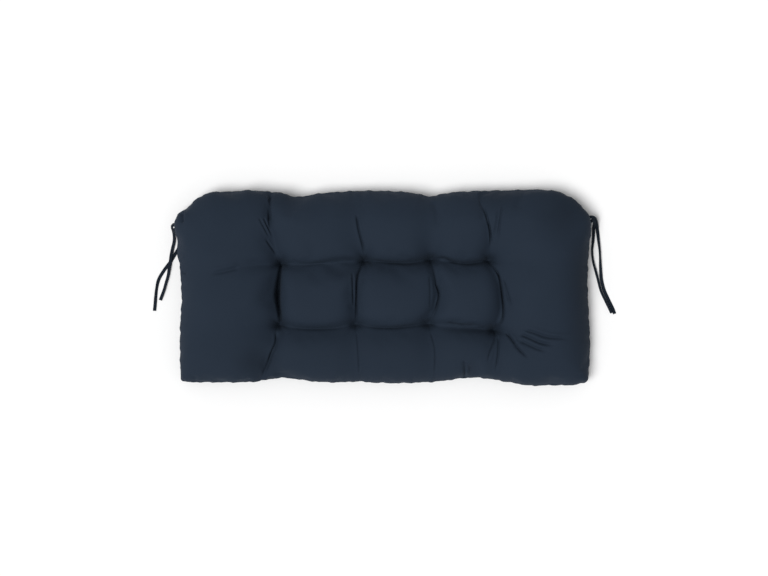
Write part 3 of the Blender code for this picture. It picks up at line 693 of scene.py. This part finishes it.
# Small folds: points in plan, depth, half width, and how much the cloth
# stands up on the left and on the right of the fold, seen along it.
SMALL_FOLDS = {
    "rear_1_crease": (
        ((-0.2870, 0.2360), (-0.2880, 0.1910), (-0.2860, 0.1400)),
        0.0056, 0.0030, 0.0004, 0.0010,
    ),
    "rear_1_slant_a": (
        ((-0.3140, 0.1730), (-0.3030, 0.1525), (-0.2860, 0.1200)),
        0.0020, 0.0020, 0.0014, 0.0014,
    ),
    "rear_1_slant_b": (
        ((-0.2960, 0.1180), (-0.2850, 0.1010), (-0.2700, 0.0795)),
        0.0018, 0.0022, 0.0012, 0.0012,
    ),
    "rear_1_slant_c": (
        ((-0.3020, 0.1730), (-0.2930, 0.1505), (-0.2830, 0.1310)),
        0.0018, 0.0018, 0.0012, 0.0012,
    ),
    "rear_2": (
        ((-0.0705, 0.1830), (-0.0645, 0.1430), (-0.0545, 0.1025), (-0.0485, 0.0740)),
        0.0050, 0.0024, 0.0008, 0.0008,
    ),
    "rear_3_soft": (
        ((0.1225, 0.2160), (0.1325, 0.1755), (0.1300, 0.1375)),
        0.0030, 0.0080, 0.0000, 0.0000,
    ),
    "rear_4_a": (
        ((0.2465, 0.2010), (0.2615, 0.1505), (0.2705, 0.0950)),
        0.0034, 0.0024, 0.0008, 0.0012,
    ),
    "rear_4_b": (
        ((0.2970, 0.2060), (0.2890, 0.1705), (0.2810, 0.1130)),
        0.0026, 0.0026, 0.0010, 0.0010,
    ),
    "rear_4_c": (
        ((0.2830, 0.1960), (0.2790, 0.1630), (0.2740, 0.1230)),
        0.0020, 0.0022, 0.0008, 0.0008,
    ),
    "rear_4_d": (
        ((0.2590, 0.1630), (0.2645, 0.1275), (0.2645, 0.0975)),
        0.0024, 0.0020, 0.0006, 0.0006,
    ),
    "rear_4_soft": (
        ((0.3500, 0.2330), (0.3375, 0.2160), (0.3270, 0.1885)),
        0.0040, 0.0080, 0.0000, 0.0000,
    ),
    "left_ledge": (
        ((-0.3620, 0.0470), (-0.3825, 0.0415), (-0.4085, 0.0355), (-0.4375, 0.0300)),
        0.0034, 0.0050, 0.0000, 0.0024,
    ),
    "front_1": (
        ((-0.2715, -0.1100), (-0.2715, -0.1400), (-0.2830, -0.1680),
         (-0.2955, -0.2010), (-0.3120, -0.2350)),
        0.0045, 0.0030, 0.0008, 0.0014,
    ),
    "front_2": (
        ((-0.0695, -0.1100), (-0.0645, -0.1755), (-0.0630, -0.2350)),
        0.0022, 0.0022, 0.0004, 0.0004,
    ),
    "front_3": (
        ((0.1150, -0.1100), (0.1265, -0.1605), (0.1250, -0.2350)),
        0.0022, 0.0022, 0.0004, 0.0004,
    ),
    "front_4": (
        ((0.2865, -0.1220), (0.2845, -0.1655), (0.2780, -0.2185)),
        0.0034, 0.0026, 0.0008, 0.0008,
    ),
    "front_4_beside": (
        ((0.2810, -0.1250), (0.2640, -0.1655), (0.2565, -0.1960)),
        0.0026, 0.0026, 0.0008, 0.0008,
    ),
    "front_small_a": (
        ((0.1985, -0.1830), (0.2000, -0.2060), (0.2020, -0.2365)),
        0.0055, 0.0022, 0.0010, 0.0012,
    ),
    "front_small_b": (
        ((0.2135, -0.1960), (0.2135, -0.2310)),
        0.0034, 0.0022, 0.0008, 0.0008,
    ),
    "fan_a": (
        ((0.3010, -0.1120), (0.3160, -0.1290), (0.3350, -0.1560), (0.3650, -0.1850)),
        0.0062, 0.0030, 0.0022, 0.0010,
    ),
    "fan_b": (
        ((0.3350, -0.1180), (0.3580, -0.1260), (0.3900, -0.1400), (0.4300, -0.1470)),
        0.0044, 0.0040, 0.0030, 0.0010,
    ),
    "fan_c": (
        ((0.3460, -0.1080), (0.3700, -0.1140), (0.4105, -0.1260), (0.4715, -0.1300)),
        0.0036, 0.0038, 0.0026, 0.0008,
    ),
    "fan_d": (
        ((0.3350, -0.1330), (0.3600, -0.1450), (0.3850, -0.1560), (0.4105, -0.1620)),
        0.0042, 0.0040, 0.0028, 0.0010,
    ),
    "middle_2_beside": (
        ((-0.0805, 0.0385), (-0.0795, -0.0140), (-0.0785, -0.0545)),
        0.0030, 0.0020, 0.0014, 0.0014,
    ),
    "middle_3_beside": (
        ((0.1120, 0.0290), (0.1150, -0.0165), (0.1130, -0.0645)),
        0.0014, 0.0024, 0.0006, 0.0006,
    ),
    "middle_3_line": (
        ((0.1265, 0.0100), (0.1300, 0.0000), (0.1362, -0.0220),
         (0.1310, -0.0460), (0.1265, -0.0640)),
        0.0046, 0.0018, 0.0000, 0.0014,
    ),
    "middle_4_line": (
        ((0.2840, 0.0440), (0.2870, 0.0225), (0.2930, -0.0150),
         (0.2965, -0.0460), (0.2965, -0.0795)),
        0.0050, 0.0018, 0.0012, 0.0000,
    ),
    "front_row_edge": (
        ((0.1560, -0.0900), (0.1780, -0.0940), (0.2000, -0.0962), (0.2450, -0.0985)),
        0.0064, 0.0018, 0.0000, 0.0016,
    ),
    "middle_4_beside": (
        ((0.2960, 0.0190), (0.3070, -0.0190), (0.3170, -0.0535)),
        0.0040, 0.0034, 0.0010, 0.0010,
    ),
    "left_mark": (
        ((-0.5140, 0.0355), (-0.4940, 0.0330)),
        0.0024, 0.0030, 0.0000, 0.0006,
    ),
    "left_pucker": (
        ((-0.5085, 0.1850), (-0.5075, 0.1560)),
        0.0060, 0.0034, 0.0010, 0.0010,
    ),
}
SMALL_FOLD_STEP = 0.004
FINE_REACH = 0.006

small_fold_lines = [smooth_route(row[0], SMALL_FOLD_STEP) for row in SMALL_FOLDS.values()]


def refine_near(piece, lines, reach):
    """Finer squares along the small folds, so that they stay crisp."""
    mesh = bmesh.new()
    mesh.from_mesh(piece.data)
    mesh.verts.ensure_lookup_table()
    places = np.array([vertex.co for vertex in mesh.verts])
    near = np.zeros(len(places), dtype=bool)
    for line in lines:
        low, high = line.min(axis=0) - reach, line.max(axis=0) + reach
        close = np.all((places[:, :2] > low) & (places[:, :2] < high), axis=1)
        away, _, _ = distance_to_line(places[close, :2], line)
        near[np.flatnonzero(close)[away < reach]] = True
    near &= group_weights(piece, "top_panel") > 0.5
    edges = [edge for edge in mesh.edges if near[edge.verts[0].index] and near[edge.verts[1].index]]
    bmesh.ops.subdivide_edges(mesh, edges=edges, cuts=1, use_grid_fill=True, smooth=1.0)
    mesh.to_mesh(piece.data)
    mesh.free()


# The seam sinks a little between the panels and wanders in and out, and its
# stitches gather the cloth beside it into small uneven puckers.
SEAM_SINK = 0.0012
PUCKER_DEPTH = 0.0016
PUCKER_START = 0.004
PUCKER_REACH = 0.022
# Pitch, size, start.
PUCKER_WAVES = ((0.031, 0.5, 0.3), (0.019, 0.35, 1.9), (0.0125, 0.25, 4.1))
PUCKER_FADE = 1.5
# The puckers come stronger and weaker in patches along the seam.
PATCH_MEAN = 0.55
PATCH_SWING = 0.45
PATCH_PITCH = 0.085
PATCH_DRIFT = 0.11
SWAY_DEPTH = 0.0007
SWAY_REACH = 0.014
SWAY_DRIFT = 0.19
SWAY_WAVES = ((0.047, 1.0, 0.4), (0.027, 0.8, 2.2), (0.0165, 0.5, 5.0))
# The seam stands out at both pairs of ties: x, y, distance, reach.
SEAM_PUSHES = (
    (-0.525, 0.160, 0.0050, 0.030),
    (0.520, 0.168, 0.0025, 0.025),
)


def spot(plan, x, y, reach_x, reach_y):
    """1 at a place in plan, and fading to 0 round it."""
    return np.exp(-((plan[:, 0] - x) / reach_x) ** 2 - ((plan[:, 1] - y) / reach_y) ** 2)


def rim_line(piece):
    """The seam in plan, as one closed line."""
    places = vertex_places(piece.data)
    weights = group_weights(piece, "top_panel")
    middle = np.abs(weights - 0.5) < 0.01
    line = places[middle, :2]
    line = line[np.argsort(np.arctan2(line[:, 1], line[:, 0]))]
    return np.vstack((line, line[:1]))


def seam_puckers(along, away):
    """How far the cloth stands in or out beside the seam's stitches."""
    wave = sum(size * np.sin(2 * pi * along / pitch + start) for pitch, size, start in PUCKER_WAVES)
    turn = 2 * pi * along / PATCH_PITCH + 2 * np.sin(along / PATCH_DRIFT)
    patches = PATCH_MEAN + PATCH_SWING * np.sin(turn)
    nearest = away / PUCKER_START
    near = nearest / (1 + nearest) * np.exp(-(away / PUCKER_REACH) ** PUCKER_FADE)
    return PUCKER_DEPTH * wave * patches * near


def seam_sway(along):
    """How far the seam itself wanders in and out."""
    drift = 2 * np.sin(along / SWAY_DRIFT)
    return SWAY_DEPTH * sum(size * np.sin(2 * pi * along / pitch + start + drift)
                            for pitch, size, start in SWAY_WAVES)


def flat_way_out(rim, share):
    """The level direction out across the seam, at each share of its length."""
    steps = np.linalg.norm(np.diff(rim, axis=0), axis=1)
    shares = np.concatenate(([0], np.cumsum(steps))) / steps.sum()
    way = np.gradient(rim, axis=0)
    across = np.column_stack([np.interp(share, shares, way[:, 1]), np.interp(share, shares, -way[:, 0])])
    return across / np.maximum(np.linalg.norm(across, axis=1), 1e-9)[:, None]


def work_the_seam(piece, plan, normals):
    """How the seam and the cloth beside it move, and how far off it each
    point lies."""
    panel = group_weights(piece, "top_panel")
    rim = rim_line(piece)
    length = np.linalg.norm(np.diff(rim, axis=0), axis=1).sum()
    away, share, _ = distance_to_line(plan, rim)
    shift = seam_puckers(share * length, away)[:, None] * normals
    sunk = 4 * panel * (1 - panel)
    shift[:, :2] -= SEAM_SINK * sunk[:, None] * normals[:, :2]
    sway = seam_sway(share * length)
    for x, y, push, reach in SEAM_PUSHES:
        sway += push * spot(plan, x, y, reach, reach)
    sway *= np.exp(-(away / SWAY_REACH) ** 2)
    shift[:, :2] += sway[:, None] * flat_way_out(rim, share)
    return shift, away


# Each tuft is drawn down into a soft pit, and draws fine wrinkles to itself.
TUFT_PIT_DEPTH = 0.011
TUFT_PIT_REACH = (0.0145, 0.0100)
# Painted shade in each tuft's pit: its strength, and its reach as a share of the pit's.
TUFT_PIT_SHADE = 0.50
TUFT_PIT_SHADE_REACH = 1.2
# Count round the tuft, size.
TUFT_WRINKLES = ((5, 1.0), (7, 0.8), (11, 0.45))
TUFT_WRINKLE_DEPTH = 0.0009
TUFT_WRINKLE_START = 0.006
TUFT_WRINKLE_REACH = 0.020
UNDERSIDE_WRINKLE = 0.7
# How far the wrinkles are turned at the first tuft, and more at each next one.
FIRST_TURN = 0.7
NEXT_TURN = 1.3


def tuft_wrinkles(plan, x, y, start):
    """Fine wrinkles running in to one tuft."""
    away = np.hypot(plan[:, 0] - x, plan[:, 1] - y)
    angle = np.arctan2(plan[:, 1] - y, plan[:, 0] - x)
    wave = sum(size * np.cos(count * angle + start * count) for count, size in TUFT_WRINKLES)
    nearest = (away / TUFT_WRINKLE_START) ** 2
    near = nearest / (1 + nearest) * np.exp(-(away / TUFT_WRINKLE_REACH) ** 2)
    return TUFT_WRINKLE_DEPTH * wave * near


def draw_in_the_tufts(plan, normals, top):
    """How the cloth moves at the tufts, and how much painted shade it gets in a pit."""
    shift = np.zeros_like(normals)
    painted_shade = np.zeros(len(plan))
    for number, (x, y) in enumerate(TUFTS.values()):
        inward = np.hypot((plan[:, 0] - x) / TUFT_PIT_REACH[0], (plan[:, 1] - y) / TUFT_PIT_REACH[1])
        shift[:, 2] -= TUFT_PIT_DEPTH * np.exp(-inward ** 2) * top
        painted_shade = np.maximum(painted_shade, TUFT_PIT_SHADE * np.exp(-(inward / TUFT_PIT_SHADE_REACH) ** 2) * top)
        wrinkle = tuft_wrinkles(plan, x, y, FIRST_TURN + NEXT_TURN * number)
        shift += (wrinkle * np.where(top, 1, UNDERSIDE_WRINKLE))[:, None] * normals
    return shift, painted_shade


# A fold of this depth or more gets the darkest painted shade.
FULL_SHADE_DEPTH = 0.008
FOLD_END = 0.06


def close_the_folds(plan, top):
    """How the cloth moves where it closes in the folds between the tufts, and
    how much painted shade it gets in one."""
    shift = np.zeros((len(plan), 3))
    painted_shade = np.zeros(len(plan))
    for line, (depths, widths, gather, power) in zip(fold_lines, SLOTS):
        away, share, side = distance_to_line(plan, line)
        depth = np.interp(share, SLOT_PLACES, depths)
        width = np.interp(share, SLOT_PLACES, widths)
        ends = np.clip(np.minimum(share, 1 - share) / FOLD_END, 0, 1)
        way = np.gradient(line, axis=0)
        number = np.clip((share * (len(line) - 1)).round().astype(int), 0, len(line) - 1)
        across = np.column_stack((-way[number, 1], way[number, 0]))
        across /= np.linalg.norm(across, axis=1)[:, None]
        drawn = gather * np.exp(-(away / GATHER_REACH) ** 2)
        shift[:, :2] -= (drawn * side * away * ends * top)[:, None] * across
        fall = np.exp(-(away * (1 - drawn) / width) ** power)
        shift[:, 2] -= depth * fall * ends * top
        painted_shade = np.maximum(painted_shade, np.clip(depth / FULL_SHADE_DEPTH, 0, 1) * fall * ends * top)
    return shift, painted_shade


# A small fold fades in at its start and further out at its end. Its ridges
# stand just outside it, and a wide one gets less painted shade than a crisp one.
SMALL_FOLD_FADES = (0.15, 0.35)
RIDGE_PLACE = 2.1
CRISP_WIDTH = 0.0022


def press_small_folds(plan, normals, top):
    """How the cloth moves in the small folds, and how much painted shade it gets in one."""
    shift = np.zeros_like(normals)
    painted_shade = np.zeros(len(plan))
    for line, (_, depth, width, left, right) in zip(small_fold_lines, SMALL_FOLDS.values()):
        away, share, side = distance_to_line(plan, line)
        start, end = SMALL_FOLD_FADES
        ends = np.clip(share / start, 0, 1) * np.clip((1 - share) / end, 0, 1)
        ends = ends * ends * (3 - 2 * ends)
        fall = np.exp(-(away / width) ** 2)
        ridge = np.exp(-((away - RIDGE_PLACE * width) / width) ** 2)
        press = left * ridge * (side > 0) + right * ridge * (side < 0) - depth * fall
        shift += (press * ends * top)[:, None] * normals
        shade = min(depth / FULL_SHADE_DEPTH, 1) * min(CRISP_WIDTH / width, 1) ** 2
        painted_shade = np.maximum(painted_shade, shade * fall * ends * top)
    return shift, painted_shade


# Places where the filling is thin: x, y, depth, reach along X and along Y.
HOLLOWS = (
    (-0.305, -0.185, 0.008, 0.040, 0.045),
    (-0.100, 0.040, 0.004, 0.036, 0.024),
    (-0.280, -0.125, 0.005, 0.030, 0.022),
    (0.470, 0.150, 0.006, 0.045, 0.070),
)
HOLLOW_END = 0.03

# Painted shade: the light alone leaves the cover too even, so its colour is
# darkened in its folds and pits and at these places: x, y, share, reach
# along X and along Y.
PAINTED_SHADE_PLACES = (
    (-0.318, -0.190, 0.50, 0.050, 0.045),
    (0.512, -0.020, 0.65, 0.045, 0.170),
    (0.100, 0.062, 0.50, 0.040, 0.016),
    (0.262, 0.066, 0.50, 0.018, 0.013),
    (-0.095, 0.040, 0.30, 0.040, 0.024),
    (0.020, 0.050, 0.18, 0.060, 0.014),
    (-0.270, -0.092, 0.35, 0.030, 0.016),
    (-0.072, -0.092, 0.35, 0.026, 0.010),
    (0.110, -0.092, 0.35, 0.026, 0.010),
    (0.225, -0.110, 0.45, 0.070, 0.0085),
    (0.000, -0.170, 0.14, 0.330, 0.050),
    (0.460, 0.190, 0.40, 0.070, 0.060),
    (0.280, 0.225, 0.25, 0.060, 0.035),
    (-0.280, 0.225, 0.20, 0.050, 0.030),
)


def shape_the_cover(piece):
    """Give the swollen cover its seam, hollows, tufts and folds, and keep in
    an attribute how much painted shade its colour gets."""
    places = vertex_places(piece.data)
    normals = vertex_normals(piece.data)
    plan = places[:, :2].copy()
    top = group_weights(piece, "top_panel") > 0.5
    shift, seam_gap = work_the_seam(piece, plan, normals)
    for x, y, depth, reach_x, reach_y in HOLLOWS:
        near = spot(plan, x, y, reach_x, reach_y)
        shift[:, 2] -= depth * near * np.clip(seam_gap / HOLLOW_END, 0, 1) * top
    painted_shade = np.zeros(len(places))
    for x, y, tone, reach_x, reach_y in PAINTED_SHADE_PLACES:
        painted_shade = np.maximum(painted_shade, tone * spot(plan, x, y, reach_x, reach_y) * top)
    for move, added_shade in (
        draw_in_the_tufts(plan, normals, top),
        close_the_folds(plan, top),
        press_small_folds(plan, normals, top),
    ):
        shift += move
        painted_shade = np.maximum(painted_shade, added_shade)
    places += shift
    places[:, 2] = np.maximum(places[:, 2], 0)
    piece.data.vertices.foreach_set("co", places.ravel())
    piece.data.update()
    mask = piece.data.attributes.new("painted_shade", "FLOAT", "POINT")
    mask.data.foreach_set("value", painted_shade)


refine_near(cushion, small_fold_lines, FINE_REACH)
shape_the_cover(cushion)
cushion.data.shade_smooth()


# The cover's colour under the darkest painted shade, as a share of its colour elsewhere.
PAINTED_SHADE_TONE = 0.50


def paint_shade_on_cover(material):
    """Paint shade on the cover: darken both shades of the cloth by its painted-shade attribute."""
    nodes, links = material.node_tree.nodes, material.node_tree.links
    weave = next(node for node in nodes if node.type == "GROUP")
    mask = nodes.new("ShaderNodeAttribute")
    mask.attribute_name = "painted_shade"
    for name in ("Cloth Colour", "Worn Colour"):
        mix = colour_mix(nodes, links, mask.outputs["Fac"])
        plain = weave.inputs[name].default_value
        mix.inputs[MIX_FIRST].default_value = plain
        mix.inputs[MIX_SECOND].default_value = (*(PAINTED_SHADE_TONE * part for part in plain[:3]), 1)
        links.new(mix.outputs[MIX_RESULT], weave.inputs[name])


cover_cloth = cloth_material("cover_cloth_navy", (0.0146, 0.0230, 0.0372), (0.0177, 0.0272, 0.0428), 0.82)
paint_shade_on_cover(cover_cloth)
cushion.data.materials.clear()
cushion.data.materials.append(cover_cloth)
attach(cushion, "root")
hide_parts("cushion")


# The floor is one pale matt sheet under the cushion, so wide that its edges
# stay out of sight.
FLOOR_SIZE = 30
FLOOR_TONE = 0.93
FLOOR_ROUGHNESS = 0.9

bpy.ops.object.select_all(action="DESELECT")
bpy.ops.mesh.primitive_plane_add(size=FLOOR_SIZE, location=(0, 0, 0))
floor = bpy.context.object
floor.name = "floor"
floor_finish = bpy.data.materials.new("floor_pale")
floor_finish.use_nodes = True
floor_shader = floor_finish.node_tree.nodes["Principled BSDF"]
floor_shader.inputs["Base Color"].default_value = (FLOOR_TONE, FLOOR_TONE, FLOOR_TONE, 1)
floor_shader.inputs["Roughness"].default_value = FLOOR_ROUGHNESS
floor.data.materials.append(floor_finish)


# The light is one large soft source high on the left, with plain white all
# round. The Standard view keeps the floor as pale as it is.
ROUND_LIGHT = 0.45
LIGHT_FROM = (-1.25, -0.8, 3.2)
LIGHT_STRENGTH = 2.35
LIGHT_SPREAD = 32

bpy.context.scene.view_settings.view_transform = "Standard"
world = bpy.data.worlds.new("studio")
bpy.context.scene.world = world
world.use_nodes = True
world.node_tree.nodes["Background"].inputs["Color"].default_value = (1, 1, 1, 1)
world.node_tree.nodes["Background"].inputs["Strength"].default_value = ROUND_LIGHT

bpy.ops.object.select_all(action="DESELECT")
bpy.ops.object.light_add(type="SUN", location=LIGHT_FROM)
soft_light = bpy.context.object
soft_light.name = "high_left_light"
soft_light.data.energy = LIGHT_STRENGTH
soft_light.data.angle = radians(LIGHT_SPREAD)
soft_light.rotation_euler = Vector(LIGHT_FROM).to_track_quat("Z", "Y").to_euler()
